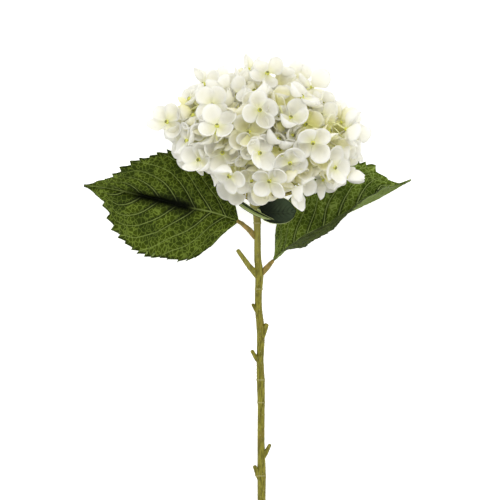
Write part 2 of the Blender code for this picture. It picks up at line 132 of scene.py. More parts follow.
class Nodes:
    """A node tree that is being written."""

    def __init__(self, tree):
        self.tree = tree

    def add(self, kind, values, **settings):
        """Adds a node and gives its first output that is in use. values holds numbers or links by socket."""
        node = self.tree.nodes.new(kind)
        for name, setting in settings.items():
            setattr(node, name, setting)
        for name, value in values.items():
            if isinstance(value, Value):
                self.tree.links.new(value.socket, node.inputs[name])
            else:
                node.inputs[name].default_value = value
        return Value(self, next((s for s in node.outputs if s.enabled), None))

    def mix(self, share, first, second):
        """A colour between two colours. Either may be a Value."""
        colours = [c if isinstance(c, Value) else (*c, 1) for c in (first, second)]
        return self.add("ShaderNodeMix", {0: share, 6: colours[0], 7: colours[1]}, data_type="RGBA")

    def attribute(self, name):
        return self.add("ShaderNodeAttribute", {}, attribute_name=name).output("Fac")

    def noise(self, place, scale, detail):
        return self.add("ShaderNodeTexNoise", {"Vector": place, "Scale": scale, "Detail": detail})

    def scaled(self, place, scales):
        """The place with each axis scaled, for a pattern that is drawn out along the others."""
        return self.add("ShaderNodeMapping", {"Vector": place, "Scale": scales})

    def paint(self, **values):
        """Sets sockets of a material's shader. An underscore in a name stands for a space."""
        for name, value in values.items():
            socket = self.tree.nodes["Principled BSDF"].inputs[name.replace("_", " ")]
            if isinstance(value, Value):
                self.tree.links.new(value.socket, socket)
            else:
                socket.default_value = value

    def own_place(self):
        """The place on the piece, for a material's pattern."""
        return self.add("ShaderNodeTexCoord", {}).output("Object")

    def position(self):
        return self.add("GeometryNodeInputPosition", {})

    def split(self, vector):
        """A vector as a node whose outputs are X, Y and Z."""
        return self.add("ShaderNodeSeparateXYZ", {0: vector})

    def bump(self, height, strength, depth):
        """The normals of a surface with this relief."""
        return self.add("ShaderNodeBump", {"Height": height, "Strength": strength, "Distance": depth})


def new_material(name):
    """A material and its nodes."""
    made = bpy.data.materials.new(name)
    made.use_nodes = True
    return made, Nodes(made.node_tree)


def geometry_tree(name, sizes):
    """A Geometry Nodes tree with a named input for each size, as (nodes, its inputs as Values)."""
    tree = bpy.data.node_groups.new(name, "GeometryNodeTree")
    kinds = {float: "NodeSocketFloat", int: "NodeSocketInt", bpy.types.Material: "NodeSocketMaterial"}
    for direction in ("INPUT", "OUTPUT"):
        tree.interface.new_socket("Geometry", in_out=direction, socket_type="NodeSocketGeometry")
    for size, value in sizes.items():
        tree.interface.new_socket(size, in_out="INPUT", socket_type=kinds[type(value)])
    nodes = Nodes(tree)
    group = tree.nodes.new("NodeGroupInput")
    return nodes, {s.name: Value(nodes, s) for s in group.outputs if s.name}


def stored(nodes, name, kind="FLOAT"):
    return nodes.add("GeometryNodeInputNamedAttribute", {"Name": name}, data_type=kind)


def with_stored(nodes, geometry, name, value, kind="FLOAT"):
    values = {"Geometry": geometry, "Name": name, 3: value}
    return nodes.add("GeometryNodeStoreNamedAttribute", values, data_type=kind, domain="POINT")


def end_tree(nodes, geometry, material):
    """Ends a Geometry Nodes tree with plain geometry of one material."""
    plain = nodes.add("GeometryNodeRealizeInstances", {"Geometry": geometry})
    smooth = nodes.add("GeometryNodeSetShadeSmooth", {"Geometry": plain})
    painted = nodes.add("GeometryNodeSetMaterial", {"Geometry": smooth, "Material": material})
    output = nodes.tree.nodes.new("NodeGroupOutput")
    nodes.tree.links.new(painted.socket, output.inputs[0])


def grow(piece, nodes, sizes):
    """Adds the tree to a piece as a modifier, with its sizes."""
    modifier = piece.modifiers.new(nodes.tree.name, "NODES")
    modifier.node_group = nodes.tree
    for socket in nodes.tree.interface.items_tree:
        if socket.in_out == "INPUT" and socket.name in sizes:
            modifier[socket.identifier] = sizes[socket.name]


def make_plain(piece):
    """Turns a piece with its modifiers into a plain mesh."""
    graph = bpy.context.evaluated_depsgraph_get()
    mesh = bpy.data.meshes.new_from_object(piece.evaluated_get(graph))
    piece.modifiers.clear()
    piece.data = mesh


def set_attribute(mesh, name, values, kind="FLOAT", field="value"):
    attribute = mesh.attributes.new(name, kind, "POINT")
    attribute.data.foreach_set(field, np.array(values, np.float32).ravel())


def new_piece(name, mesh):
    piece = bpy.data.objects.new(name, mesh)
    bpy.context.scene.collection.objects.link(piece)
    return piece


def rounded_copy(name, node):
    """A copy of a CAD node with its facets rounded off."""
    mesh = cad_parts[node].data.copy()
    work = bmesh.new()
    work.from_mesh(mesh)
    bmesh.ops.remove_doubles(work, verts=work.verts, dist=SAME_POINT)
    work.to_mesh(mesh)
    work.free()
    mesh.materials.clear()
    piece = new_piece(name, mesh)
    skin = piece.modifiers.new("Skin", "REMESH")
    skin.mode = "VOXEL"
    skin.voxel_size = BARK_CELL
    smoothing = piece.modifiers.new("Smooth", "SMOOTH")
    smoothing.iterations = BARK_ROUNDS
    return piece


def bark_material():
    made, nodes = new_material("bark")
    place = nodes.own_place()
    streaks = nodes.noise(nodes.scaled(place, STREAK_SCALES), 900.0, 4.0)
    patches = nodes.noise(place, 60.0, 3.0)
    pores = nodes.noise(nodes.scaled(place, PORE_SCALES), 1300.0, 1.0).smooth(0.66, 0.74)
    scar = nodes.attribute("scar").smooth(0.45, 1.0)
    height = nodes.split(place).output("Y")
    colour = nodes.mix(streaks.smooth(0.35, 0.65), *BARK_OLIVES)
    colour = nodes.mix(patches.smooth(0.50, 0.70) * 0.5, colour, BARK_BROWN)
    colour = nodes.mix(height.smooth(*YOUNG_BARK) * 0.45, colour, BARK_YOUNG)
    colour = nodes.mix(pores * 0.6, colour, BARK_PORE)
    colour = nodes.mix(scar * patches, colour, BARK_SCAR)
    colour = nodes.mix(nodes.attribute("cut"), colour, CUT_WOOD)
    relief = nodes.bump(streaks + pores * 0.6, 0.35, 0.0003)
    roughness = 0.42 + 0.2 * patches
    nodes.paint(Base_Color=colour, Roughness=roughness, Specular_IOR_Level=SHINE, Normal=relief)
    return made


def bark_tree(material, cut_end):
    """Long ridges, small pores and ring-shaped leaf scars on the skin. What faces down the stem below
    cut_end is marked as cut."""
    sizes = {
        "Ridge depth": RIDGE_DEPTH,
        "Pore height": PORE_HEIGHT,
        "Swell": BARK_SWELL,
        "Scar width": SCAR_WIDTH,
        "Scar swell": SCAR_SWELL,
        "Cut end": cut_end,
        "Bark": material,
    }
    nodes, inputs = geometry_tree("Bark relief", sizes)
    place = nodes.position()
    drawn_out = nodes.add("ShaderNodeVectorMath", {0: place, 1: STREAK_SCALES}, operation="MULTIPLY")
    ridges = nodes.noise(drawn_out, 700.0, 2.0) - 0.5
    pores = nodes.noise(place, 850.0, 0.0).smooth(0.68, 0.76)
    along = nodes.split(place).output("Y")
    scar = 0.0
    for middle in SCAR_HEIGHTS:
        off = along - middle
        scar = scar + (1 - off.math("ABSOLUTE", off).smooth(0.0, inputs["Scar width"]))
    height = ridges * inputs["Ridge depth"] + pores * inputs["Pore height"]
    height = height + inputs["Swell"] + scar * inputs["Scar swell"]
    normal = nodes.add("GeometryNodeInputNormal", {})
    offset = nodes.add("ShaderNodeVectorMath", {0: normal, "Scale": height}, operation="SCALE")
    low_end = along.math("LESS_THAN", along, inputs["Cut end"])
    downward = nodes.split(normal).output("Y") * -1.0
    marked = with_stored(nodes, inputs["Geometry"], "cut", low_end * downward.smooth(0.50, 0.70))
    marked = with_stored(nodes, marked, "scar", scar)
    raised = nodes.add("GeometryNodeSetPosition", {"Geometry": marked, "Offset": offset})
    end_tree(nodes, raised, inputs["Bark"])
    return nodes, sizes


stem = rounded_copy("stem_bark", "stem")
grow(stem, *bark_tree(bark_material(), cad_box[0][1] + CUT_ZONE))
make_plain(stem)
for vertex in stem.data.vertices:
    vertex.co.z = max(vertex.co.z, 0.0)
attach(stem, "root")
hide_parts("stem")

# -------------------- leaf stalks and the head's branches
# Two short brown stalks carry the large leaves. Ten pale branches fan out from the top of the stem inside
# the head, each to a knot. They grow out of the stem, so each starts a little way inside it.

STALK_SIDES = 10
STALK_STEPS = 6  # rings from one given point to the next
PETIOLE_REACH = 1.06  # its length over its solid's, to meet the stem and the blade
HUB_RADIUS = 0.0056  # of the stem's top, which the branches grow from
BRANCH_FOOT = 0.0012  # how far a branch reaches into it
KNOT_RADIUS = 0.0040


def stalk_material(name, light, dark):
    made, nodes = new_material(name)
    place = nodes.own_place()
    patches = nodes.noise(place, 260.0, 3.0)
    fibres = nodes.noise(place, 1600.0, 2.0)
    colour = nodes.mix((patches * 0.7 + fibres * 0.3).smooth(0.40, 0.62), dark, light)
    relief = nodes.bump(fibres, 0.2, 0.0002)
    roughness = 0.45 + 0.2 * patches
    nodes.paint(Base_Color=colour, Roughness=roughness, Specular_IOR_Level=SHINE, Normal=relief)
    return made


def stalk_tree(material):
    """A round, capped stalk along each line of edges, as thick as the points' radius says."""
    sizes = {"Sides": STALK_SIDES, "Steps": STALK_STEPS, "Skin": material}
    nodes, inputs = geometry_tree("Stalks", sizes)
    line = nodes.add("GeometryNodeMeshToCurve", {"Mesh": inputs["Geometry"]})
    line = nodes.add("GeometryNodeCurveSplineType", {"Curve": line}, spline_type="CATMULL_ROM")
    line = nodes.add("GeometryNodeSetSplineResolution", {"Geometry": line, "Resolution": inputs["Steps"]})
    ring = nodes.add("GeometryNodeCurvePrimitiveCircle", {"Resolution": inputs["Sides"], "Radius": 1.0})
    values = {"Curve": line, "Profile Curve": ring, "Scale": stored(nodes, "radius"), "Fill Caps": True}
    end_tree(nodes, nodes.add("GeometryNodeCurveToMesh", values), inputs["Skin"])
    return nodes, sizes


def lines_piece(name, lines):
    """A piece of bare edges along lines of (x, y, z, radius), for stalks to follow."""
    points, edges = [], []
    for line in lines:
        edges += [(len(points) + k, len(points) + k + 1) for k in range(len(line) - 1)]
        points += line
    mesh = bpy.data.meshes.new(name)
    mesh.from_pydata([tuple(p[:3]) for p in points], edges, [])
    set_attribute(mesh, "radius", [p[3] for p in points])
    return new_piece(name, mesh)


def corners_of(node):
    """The points of a CAD node, each once."""
    points = np.array([v.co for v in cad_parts[node].data.vertices])
    return np.unique(points.round(6), axis=0)


brown_skin = stalk_material("petiole_skin", light=(0.330, 0.225, 0.060), dark=(0.190, 0.150, 0.030))
for node in ("leaf_left_petiole", "leaf_right_petiole"):
    petiole = rounded_copy(node + "_skin", node)
    grow(petiole, *bark_tree(brown_skin, cad_box[0][1]))
    make_plain(petiole)
    middle = sum(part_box(node), Vector()) / 2
    petiole.data.transform(
        Matrix.Translation(middle) @ Matrix.Scale(PETIOLE_REACH, 4) @ Matrix.Translation(-middle)
    )
    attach(petiole, "root")
    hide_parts(node)

stem_points = corners_of("stem")
stem_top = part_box("stem")[1]
hub_points = stem_points[stem_points[:, 1] > stem_top.y - 2 * HUB_RADIUS]
hub = Vector((hub_points[:, 0].mean(), stem_top.y - HUB_RADIUS, stem_top.z - HUB_RADIUS))
green_skin = stalk_material("branch_skin", light=(0.400, 0.370, 0.110), dark=(0.230, 0.180, 0.035))
stalk_nodes, stalk_sizes = stalk_tree(green_skin)
knots = []
for node in sorted(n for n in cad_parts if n.startswith("branch_")):
    points = corners_of(node)
    ray = (Vector(points.mean(axis=0)) - hub).normalized()
    length = max((Vector(p) - hub).dot(ray) for p in points) - KNOT_RADIUS
    knots.append(hub + ray * length)
    # Places along the branch, from the hub's middle, and its radius there. It swells into the knot.
    profile = (
        (HUB_RADIUS - BRANCH_FOOT, 0.0023),
        (HUB_RADIUS + 0.0015, 0.0019),
        (length / 2, 0.0015),
        (length - 0.0052, 0.0017),
        (length - 0.0018, 0.0028),
        (length + 0.0018, 0.0028),
        (length + 0.0036, 0.0016),
    )
    branch = lines_piece(node + "_skin", [[(*(hub + ray * far), radius) for far, radius in profile]])
    grow(branch, stalk_nodes, stalk_sizes)
    make_plain(branch)
    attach(branch, "root")
    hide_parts(node)

# -------------------- leaf blades
# Two large blades, thick and puckered, with teeth that point to the tip and a paler underside. The left
# one is open and the right one is folded along its midrib. Two small smooth ones sit under the head.

LEAF_SHIFT = Vector((-0.00109, 0.00166, 0.00001))  # from the places given here to the flower's own frame
TABLE_GAP = 0.0002  # the least height of a leaf or a sepal over the table
BLADE_ROWS = 230  # faces along a blade
BLADE_COLUMNS = 40  # faces across each half
BLADE_THICKNESS = 0.0005
SPAN_STEPS = 32  # places worked out from one given point of a midrib to the next
FOLD_REACH = 0.10  # share of the half-width in which the fold at the midrib fades
RIM_HOLD = 8  # the more, the closer the rim's turn stays to the edge
TAIL_WIDTHS = (1.0, 0.15, 0.02)  # of the outline, at the start and end of the tail and at the very tip
TOOTH_STAGGER = 0.03  # share of the leaf by which the right half's teeth are nearer its base
TOOTH_SIZE, TOOTH_VARIETY, TOOTH_BEAT = 0.8, 0.3, 5.1  # their mean, and a sine from one tooth to the next
TEETH_START, TEETH_END = (0.10, 0.24), (0.84, 0.90)  # shares of the leaf in which they grow and fade
TOOTH_HOLD = 12  # the same for a tooth
TOOTH_LEAN = 1.3  # how far a tooth leans ahead, over how far it stands out
VEINS = 9.0  # side veins on each half, if they went on to the tip
VEIN_CROWDING = 0.85  # under 1, they stand closer at the base
VEIN_LEAD, VEIN_SPREAD = 0.26, 0.95  # how far along the leaf a vein runs while it crosses to the edge
VEIN_SLANT, VEIN_BEND = 0.45, 0.55  # how much of that it does evenly, and how much towards the edge
VEIN_WANDER = 0.12  # of the distance from one side vein to the next
PUCKER_SHAPE = 0.7  # under 1, the skin is rounder between two side veins
PUCKER_START, PUCKER_END = (0.0, 0.16), (0.80, 1.0)  # shares of the half-width in which it rises and sinks
GROOVE_WIDTH = 0.0013  # along the midrib
GROOVE_DEPTH, GRAIN_HEIGHT, WAVE_HEIGHT = 0.4, 0.28, 0.9  # shares of the pucker
WANDER_SCALE, GRAIN_SCALE, WAVE_SCALE = 55, 420, 70  # how fine the noise of each is, per metre
TINY = 1e-12  # against dividing by nought
SIDE_VEIN = (0.014, 0.054)  # where it fades, as shares of the distance from one side vein to the next
MIDRIB = (0.008, 0.026)  # where it fades, as shares of the half-width
# Painted shade darkens the edge, where it rolls under.
EDGE_SHADE = (0.93, 1.0)  # where the edge darkens, in the same shares
NET_CELLS = 275.0  # meshes of the fine net in a metre
NET_LINE = (0.02, 0.11)  # where a fine vein fades, as shares of a mesh
LEAF_SHINE = 0.06
# A grey green for the painted shade on the half to the right of the midrib.
HALF_SHADE_GREEN = (0.050, 0.062, 0.028)

# Places along a blade, from its base at 0 to the foot of its tip at 1, and its share of the widest there.
BLADE_OUTLINE = (
    (0.00, 0.05, 0.12, 0.20, 0.35, 0.55, 0.70, 0.80, 0.88, 0.94, 1.00, 1.08, 1.20),
    (0.05, 0.26, 0.58, 0.78, 0.94, 1.00, 0.95, 0.81, 0.64, 0.42, 0.24, 0.14, 0.03),
)


@dataclass
class Leaf:
    """What sets one leaf apart. Slopes are how far each half stands above level, in degrees, evenly spaced
    from the base to the tip. Each half gets steeper by curl from the midrib to the edge, by fold close to
    the midrib and by rim close to the edge. Tip_from is where the outline's tip begins, and tail is where
    the leaf narrows to it, as shares of its length. Teeth is their number on each half, tooth their
    size, and pucker how high the blade rises between its side veins."""

    name: str
    midrib: tuple
    half_widths: tuple
    slopes: tuple
    curl: float = 0
    fold: float = 0
    rim: float = 0
    tip_from: float = 1.0
    tail: tuple = (0.92, 1.0)
    teeth: int = 0
    tooth: float = 0
    pucker: float = 0.0002


left_leaf = Leaf(
    "leaf_left_blade",
    midrib=(
        (-0.0068, 0.0790, 0.0558),
        (-0.0169, 0.0829, 0.0515),
        (-0.0290, 0.0866, 0.0465),
        (-0.0452, 0.0899, 0.0390),
        (-0.0615, 0.0944, 0.0310),
        (-0.0804, 0.0990, 0.0220),
        (-0.1028, 0.1041, 0.0120),
        (-0.1194, 0.1071, 0.0050),
        (-0.1331, 0.1082, 0.0010),
    ),
    half_widths=(0.0465, 0.0410),
    slopes=((8, 10, 12, 10), (-12, -14, 0, 34, 50, 50)),
    curl=-8,
    fold=28,
    tip_from=0.86,
    teeth=20,
    tooth=0.0029,
    pucker=0.0019,
)
right_leaf = Leaf(
    "leaf_right_blade",
    midrib=(
        (0.0220, 0.0475, 0.0488),
        (0.0330, 0.0572, 0.0415),
        (0.0465, 0.0675, 0.0340),
        (0.0640, 0.0755, 0.0255),
        (0.0764, 0.0832, 0.0190),
        (0.0920, 0.0905, 0.0120),
        (0.1094, 0.0989, 0.0060),
        (0.1225, 0.1066, 0.0024),
        (0.1350, 0.1137, 0.0010),
    ),
    half_widths=(0.0420, 0.0400),
    slopes=((-70, -46, -14, -4, 0, 0), (100, 74, 80, 90, 100, 104)),
    curl=4,
    tip_from=0.93,
    tail=(0.83, 0.93),
    teeth=25,
    tooth=0.0027,
    pucker=0.0016,
)
small_right_leaf = Leaf(
    "leaf_small_right_blade",
    midrib=(
        (0.0090, 0.0880, 0.0665),
        (0.0160, 0.0862, 0.0655),
        (0.0240, 0.0854, 0.0625),
        (0.0320, 0.0858, 0.0580),
        (0.0400, 0.0870, 0.0530),
    ),
    half_widths=(0.0140, 0.0100),
    slopes=((8, 4, 0, 0, 0, 0), (115, -10, -14, -10, -6, 0)),
    fold=14,
    rim=150,
)
small_left_leaf = Leaf(
    "leaf_small_left_blade",
    midrib=(
        (0.0222, 0.0798, 0.0670),
        (0.0090, 0.0868, 0.0690),
        (0.0010, 0.0918, 0.0680),
        (-0.0070, 0.0978, 0.0670),
        (-0.0140, 0.1044, 0.0650),
    ),
    half_widths=(0.0070, 0.0075),
    slopes=((84, 80, 78, 70), (130, 130, 128, 118)),
)


def smooth_line(points, count):
    """Evenly spaced places on a smooth curve through the points."""
    rows = np.array([2 * points[0] - points[1], *points, 2 * points[-1] - points[-2]])
    t = np.linspace(0, 1, SPAN_STEPS + 1)[:-1, None]
    spans = []
    for before, start, end, after in zip(rows, rows[1:], rows[2:], rows[3:]):
        bend = (2 * before - 5 * start + 4 * end - after) * t**2
        turn = (3 * start - before - 3 * end + after) * t**3
        spans.append(0.5 * (2 * start + (end - before) * t + bend + turn))
    line = np.concatenate([*spans, points[-1:]])
    far = np.concatenate([[0], np.linalg.norm(np.diff(line, axis=0), axis=1).cumsum()])
    wanted = np.linspace(0, far[-1], count)
    return np.column_stack([np.interp(wanted, far, column) for column in line.T])


def smooth_step(values, low, high):
    t = np.clip((values - low) / (high - low), 0, 1)
    return t * t * (3 - 2 * t)


def vein_phase(share, across):
    """Counts the side veins: it is a whole number on each. A vein starts at a share of the midrib and bends
    towards the tip, most of all at the middle of the leaf. Its start solves a quadratic."""
    bent = across * (VEIN_SLANT + VEIN_BEND * across)
    spread = VEIN_SPREAD * bent
    from_here = share - VEIN_LEAD * bent
    root = np.sqrt(np.maximum((1 + spread) ** 2 - 4 * spread * from_here, 0))
    start = 2 * from_here / (1 + spread + root)
    return VEINS * np.sign(start) * np.abs(start) ** VEIN_CROWDING


def half_blade(leaf, side, centres, share, ahead, level):
    """Rows of places from the midrib to the edge of one half. Side is 0 on the left and 1 on the right, as
    the leaf points ahead."""
    across = np.linspace(0, 1, BLADE_COLUMNS + 1)
    slopes = leaf.slopes[side]
    slope = np.interp(share, np.linspace(0, 1, len(slopes)), slopes)[:, None]
    turn = slope + leaf.curl * across + leaf.fold * np.exp(-across / FOLD_REACH) + leaf.rim * across**RIM_HOLD
    turn = np.radians(turn)
    width = leaf.half_widths[side] * np.interp(share / leaf.tip_from, *BLADE_OUTLINE)[:, None]
    width *= np.interp(share, (*leaf.tail, 1.0), TAIL_WIDTHS)[:, None]
    out = (1, -1)[side] * np.cos(turn)[:, :, None] * level[:, None]
    out += np.sin(turn)[:, :, None] * np.array((0, 0, 1))
    steps = out * (width / BLADE_COLUMNS)[:, :, None]
    steps[:, 0] = 0
    places = centres[:, None] + steps.cumsum(axis=1)
    if leaf.teeth:
        count = leaf.teeth * (share + TOOTH_STAGGER * side)
        size = leaf.tooth * (TOOTH_SIZE + TOOTH_VARIETY * np.sin(TOOTH_BEAT * np.floor(count)))
        size *= smooth_step(share, *TEETH_START) * (1 - smooth_step(share, *TEETH_END))
        along_tooth = (count % 1)[:, None, None]
        reach = size[:, None, None] * across[None, :, None] ** TOOTH_HOLD
        places += reach * (along_tooth**1.2 * out[:, -1:] + TOOTH_LEAN * along_tooth**2 * ahead[:, None])
    return places, across


def blade_mesh(leaf):
    """The blade's upper skin, with the count of its side veins and the places across and along it as
    attributes, and a UV map in metres."""
    centres = smooth_line(np.array(leaf.midrib), BLADE_ROWS + 1)
    length = np.linalg.norm(np.diff(centres, axis=0), axis=1).sum()
    share = np.linspace(0, 1, BLADE_ROWS + 1)
    ahead = np.gradient(centres, axis=0)
    ahead /= np.linalg.norm(ahead, axis=1)[:, None]
    level = np.column_stack([-ahead[:, 1], ahead[:, 0], 0 * share])
    level /= np.linalg.norm(level, axis=1)[:, None]
    left, across = half_blade(leaf, 0, centres, share, ahead, level)
    right, _ = half_blade(leaf, 1, centres, share, ahead, level)
    places = np.concatenate([left[:, :0:-1], right], axis=1)
    across = np.concatenate([across[:0:-1], across])[None, :] + 0 * share[:, None]
    side = np.sign(np.arange(2 * BLADE_COLUMNS + 1) - BLADE_COLUMNS)
    share = share[:, None] + 0 * across
    phase = vein_phase(share, across)
    for (i, j), place in zip(np.ndindex(phase.shape), places.reshape(-1, 3)):
        phase[i, j] += VEIN_WANDER * across[i, j] * noise.noise(Vector(place) * WANDER_SCALE)
    face = np.cross(np.gradient(places, axis=0), np.gradient(places, axis=1))
    face /= np.linalg.norm(face, axis=2)[:, :, None] + TINY
    if face[:, BLADE_COLUMNS, 2].mean() < 0:
        face = -face
    gap = np.linalg.norm(np.diff(places, axis=1), axis=2).mean(axis=1)[:, None] * BLADE_COLUMNS
    fullness = gap / max(leaf.half_widths)
    open_zone = smooth_step(across, *PUCKER_START) * (1 - smooth_step(across, *PUCKER_END))
    height = leaf.pucker * np.abs(np.sin(math.pi * phase)) ** PUCKER_SHAPE * open_zone * fullness
    height -= GROOVE_DEPTH * leaf.pucker * np.exp(-((across * gap / GROOVE_WIDTH) ** 2))
    for (i, j), place in zip(np.ndindex(height.shape), places.reshape(-1, 3)):
        height[i, j] += GRAIN_HEIGHT * leaf.pucker * noise.noise(Vector(place) * GRAIN_SCALE)
        height[i, j] += WAVE_HEIGHT * leaf.pucker * across[i, j] * noise.noise(Vector(place) * WAVE_SCALE)
    places = places + face * height[:, :, None]

    count, width = places.shape[:2]
    corner = np.arange(count * width).reshape(count, width)
    quads = np.stack([corner[:-1, :-1], corner[:-1, 1:], corner[1:, 1:], corner[1:, :-1]], axis=2)
    mesh = bpy.data.meshes.new(leaf.name)
    mesh.from_pydata(places.reshape(-1, 3), [], quads.reshape(-1, 4).tolist())
    for name, values in (("phase", phase), ("across", across), ("share", share)):
        set_attribute(mesh, name, values)
    spread = np.stack([share * length, across * side * gap], axis=2).reshape(-1, 2)
    loops = np.zeros(len(mesh.loops), np.int32)
    mesh.loops.foreach_get("vertex_index", loops)
    mesh.uv_layers.new(name="leaf").data.foreach_set("uv", spread[loops].ravel())
    return mesh


def lit(colour, share):
    """The colour, that much lighter or darker."""
    return tuple(share * c for c in colour)


def leaf_materials(
    name, dark, light, vein, fine_vein, underside, net, crease_shade=0.0, shade=0.0, half_shade=0.0, roughness=0.50
):
    """The leaf's face, with pale veins and a net of finer ones, and its underside. Painted shade darkens the
    face in the troughs beside the side veins and along its edge, where it rolls under. Net is how strongly
    the finer veins show. The next three say how much more painted shade darkens it: along the middle of the
    midrib, in its fold; towards its foot; and to the right of the midrib, where it also turns the face grey."""
    made = []
    for under in (False, True):
        material, nodes = new_material(name + ("_underside" if under else "_face"))
        plan = nodes.add("ShaderNodeTexCoord", {}).output("UV")
        phase, across, share = (nodes.attribute(n) for n in ("phase", "across", "share"))
        off_vein = phase.math("PINGPONG", phase, 0.5)
        side_vein = (1 - off_vein.smooth(*SIDE_VEIN)) * (1 - share.smooth(0.90, 0.96))
        trough_shade = (1 - off_vein.smooth(0.04, 0.24)) * (1 - across.smooth(0.15, 0.70))
        midrib = 1 - across.smooth(*MIDRIB)
        valley_shade = share.smooth(0.20, 0.34) * (1 - share.smooth(0.62, 0.80))
        valley_shade = valley_shade * (1 - across.smooth(0.02, 0.26)) * crease_shade
        wander = nodes.noise(plan, 240.0, 2.0)
        cells = nodes.add("ShaderNodeTexVoronoi", {0: plan, "Scale": NET_CELLS}, feature="DISTANCE_TO_EDGE")
        lines = 1 - cells.smooth(*NET_LINE)
        patches = nodes.noise(plan, 45.0, 3.0).smooth(0.35, 0.65)
        veins = side_vein.math("MAXIMUM", side_vein * (1 - 0.5 * across), midrib)
        if under:
            colour = nodes.mix(patches, underside, lit(underside, 0.8))
            colour = nodes.mix(veins * 0.5 + lines * net * 0.3, colour, lit(underside, 1.25))
            colour = nodes.mix(share.smooth(0.92, 0.96), colour, dark)
        else:
            colour = nodes.mix(patches * 0.6 + wander * 0.4, dark, light)
            colour = nodes.mix(lines * net * (0.55 + 0.45 * patches), colour, fine_vein)
            # Painted shade in the troughs beside the side veins, strongest near the midrib.
            colour = nodes.mix(trough_shade * 0.9, colour, lit(dark, 0.35))
            colour = nodes.mix(veins * (0.65 + 0.5 * wander), colour, vein)
            # Painted shade in the fold along the middle of the midrib.
            colour = nodes.mix(valley_shade, colour, lit(dark, 0.10))
            # Painted shade towards the leaf's foot.
            colour = nodes.mix((1 - share.smooth(0.20, 0.75)) * shade, colour, lit(dark, 0.3))
            # Painted shade along the edge, where it rolls under.
            colour = nodes.mix(across.smooth(*EDGE_SHADE) * 0.65, colour, lit(dark, 0.4))
            # Painted shade that greys and darkens the half to the right of the midrib.
            off_midrib = nodes.split(plan).output("Y")
            colour = nodes.mix(off_midrib.smooth(0.0, 0.004) * half_shade, colour, HALF_SHADE_GREEN)
        height = cells.smooth(0.0, 0.25) * 0.7 - veins + wander * 0.4
        relief = nodes.bump(height, 0.5 * net + 0.1, 0.0006)
        rough = roughness + 0.15 * wander
        nodes.paint(Base_Color=colour, Roughness=rough, Specular_IOR_Level=LEAF_SHINE, Normal=relief)
        made.append(material)
    return made


def make_blade(leaf, materials):
    blade = new_piece(leaf.name + "_surface", blade_mesh(leaf))
    for material in materials:
        blade.data.materials.append(material)
    wall = blade.modifiers.new("Wall", "SOLIDIFY")
    wall.thickness = BLADE_THICKNESS
    wall.offset = -1
    wall.material_offset = 1
    make_plain(blade)
    blade.data.transform(Matrix.Translation(LEAF_SHIFT))
    for vertex in blade.data.vertices:
        vertex.co.z = max(vertex.co.z, TABLE_GAP)
    blade.data.shade_smooth()
    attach(blade, "root")
    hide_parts(leaf.name)


left_looks = leaf_materials(
    "left_leaf",
    dark=(0.016, 0.028, 0.001),
    light=(0.054, 0.078, 0.002),
    vein=(0.260, 0.330, 0.085),
    fine_vein=(0.215, 0.290, 0.045),
    underside=(0.240, 0.320, 0.085),
    net=0.60,
    crease_shade=1.0,
)
right_looks = leaf_materials(
    "right_leaf",
    dark=(0.036, 0.064, 0.003),
    light=(0.118, 0.174, 0.013),
    vein=(0.400, 0.500, 0.160),
    fine_vein=(0.310, 0.410, 0.095),
    underside=(0.135, 0.185, 0.035),
    net=0.75,
    half_shade=0.65,
)
small_looks = leaf_materials(
    "small_leaf",
    dark=(0.024, 0.036, 0.018),
    light=(0.078, 0.112, 0.060),
    vein=(0.080, 0.110, 0.060),
    fine_vein=(0.080, 0.110, 0.060),
    underside=(0.520, 0.600, 0.270),
    net=0.10,
    crease_shade=0.4,
    shade=0.9,
    roughness=0.40,
)
make_blade(left_leaf, left_looks)
make_blade(right_leaf, right_looks)
make_blade(small_right_leaf, small_looks)
make_blade(small_left_leaf, small_looks)

# -------------------- florets
# Each spray has three florets at the head's surface and smaller ones deeper in, on pale green pedicels that
# meet in a fork. A floret is four thin, spoon-shaped sepals, white with a greenish foot, round a small bud.

SEPALS = 4
SEPAL_ROWS = 9  # points along and across a sepal
SEPAL_WIDTH = 0.47  # half-width, as a share of its length
FOOT_WIDTH = 0.26  # share of that width which is left at the foot
SEPAL_PITCH = math.radians(12)  # how far a sepal rises from the floret's plane
UPPER_PITCH = math.radians(8)  # and how much more two of them do, over the other two
PITCH_SPREAD = math.radians(34)  # either way, about the sepal's foot
SPIN_SPREAD = math.radians(8)  # either way, about the floret's axis
ROLL_SPREAD = math.radians(18)  # either way, about the sepal's length
LENGTH_RANGE = (0.90, 1.12)  # of a sepal, over the floret's reach
SPOON_RANGE = (0.6, 1.5)
CURL_RANGE = (-0.16, 0.22)  # how far the tip bends up, as a share of the sepal's length
SPOON_DEPTH = 0.33  # how deep the spoon is, as a share of the sepal's length
RIPPLE = 0.05  # either way, in the same shares, at the sepal's edge
RIPPLE_SCALE = 190.0  # how fine it is, per metre
SEPAL_THICKNESS = 0.00035
FLORET_GROWTH = 1.30  # real sepals reach past the plain solids and over each other
LARGEST_FLORET = 0.0168
SMALLEST_FLORET = 0.006  # what is smaller in a plain solid is a joint of its stalks
SET_BACK = 0.0025  # of a floret's eye from the plain solid's, as its sepals rise more
EYE_TRIANGLES = 12  # of a floret's solid that meet at its eye
BUD_RADIUS = 0.0019
BUD_SIDES, BUD_RINGS = 8, 6
PEDICEL_SIDES, PEDICEL_STEPS = 6, 4
PEDICEL_RADIUS = 0.00065
PEDICEL_TOP, FORK_SWELL, STALK_SWELL = 1.3, 1.2, 1.4  # times that, at the bud, at the fork and below it
STALK_END = 0.001  # radius where the stalk meets the knot
PEDICEL_STRAIGHT = 0.015  # how far it runs straight back from its floret
FORK_SHARE = 0.30  # of the way from the pedicels' bends to the knot, where they meet
INNER_DEPTH = 0.007  # how far the inner florets lie under the outer ones
INNER_SIZE = 0.85
INNER_SPLAY = 0.35  # how much further out they stand than halfway between two outer ones
FLORET_TILT = math.radians(38)  # how far a floret leans from its place in the plain solid
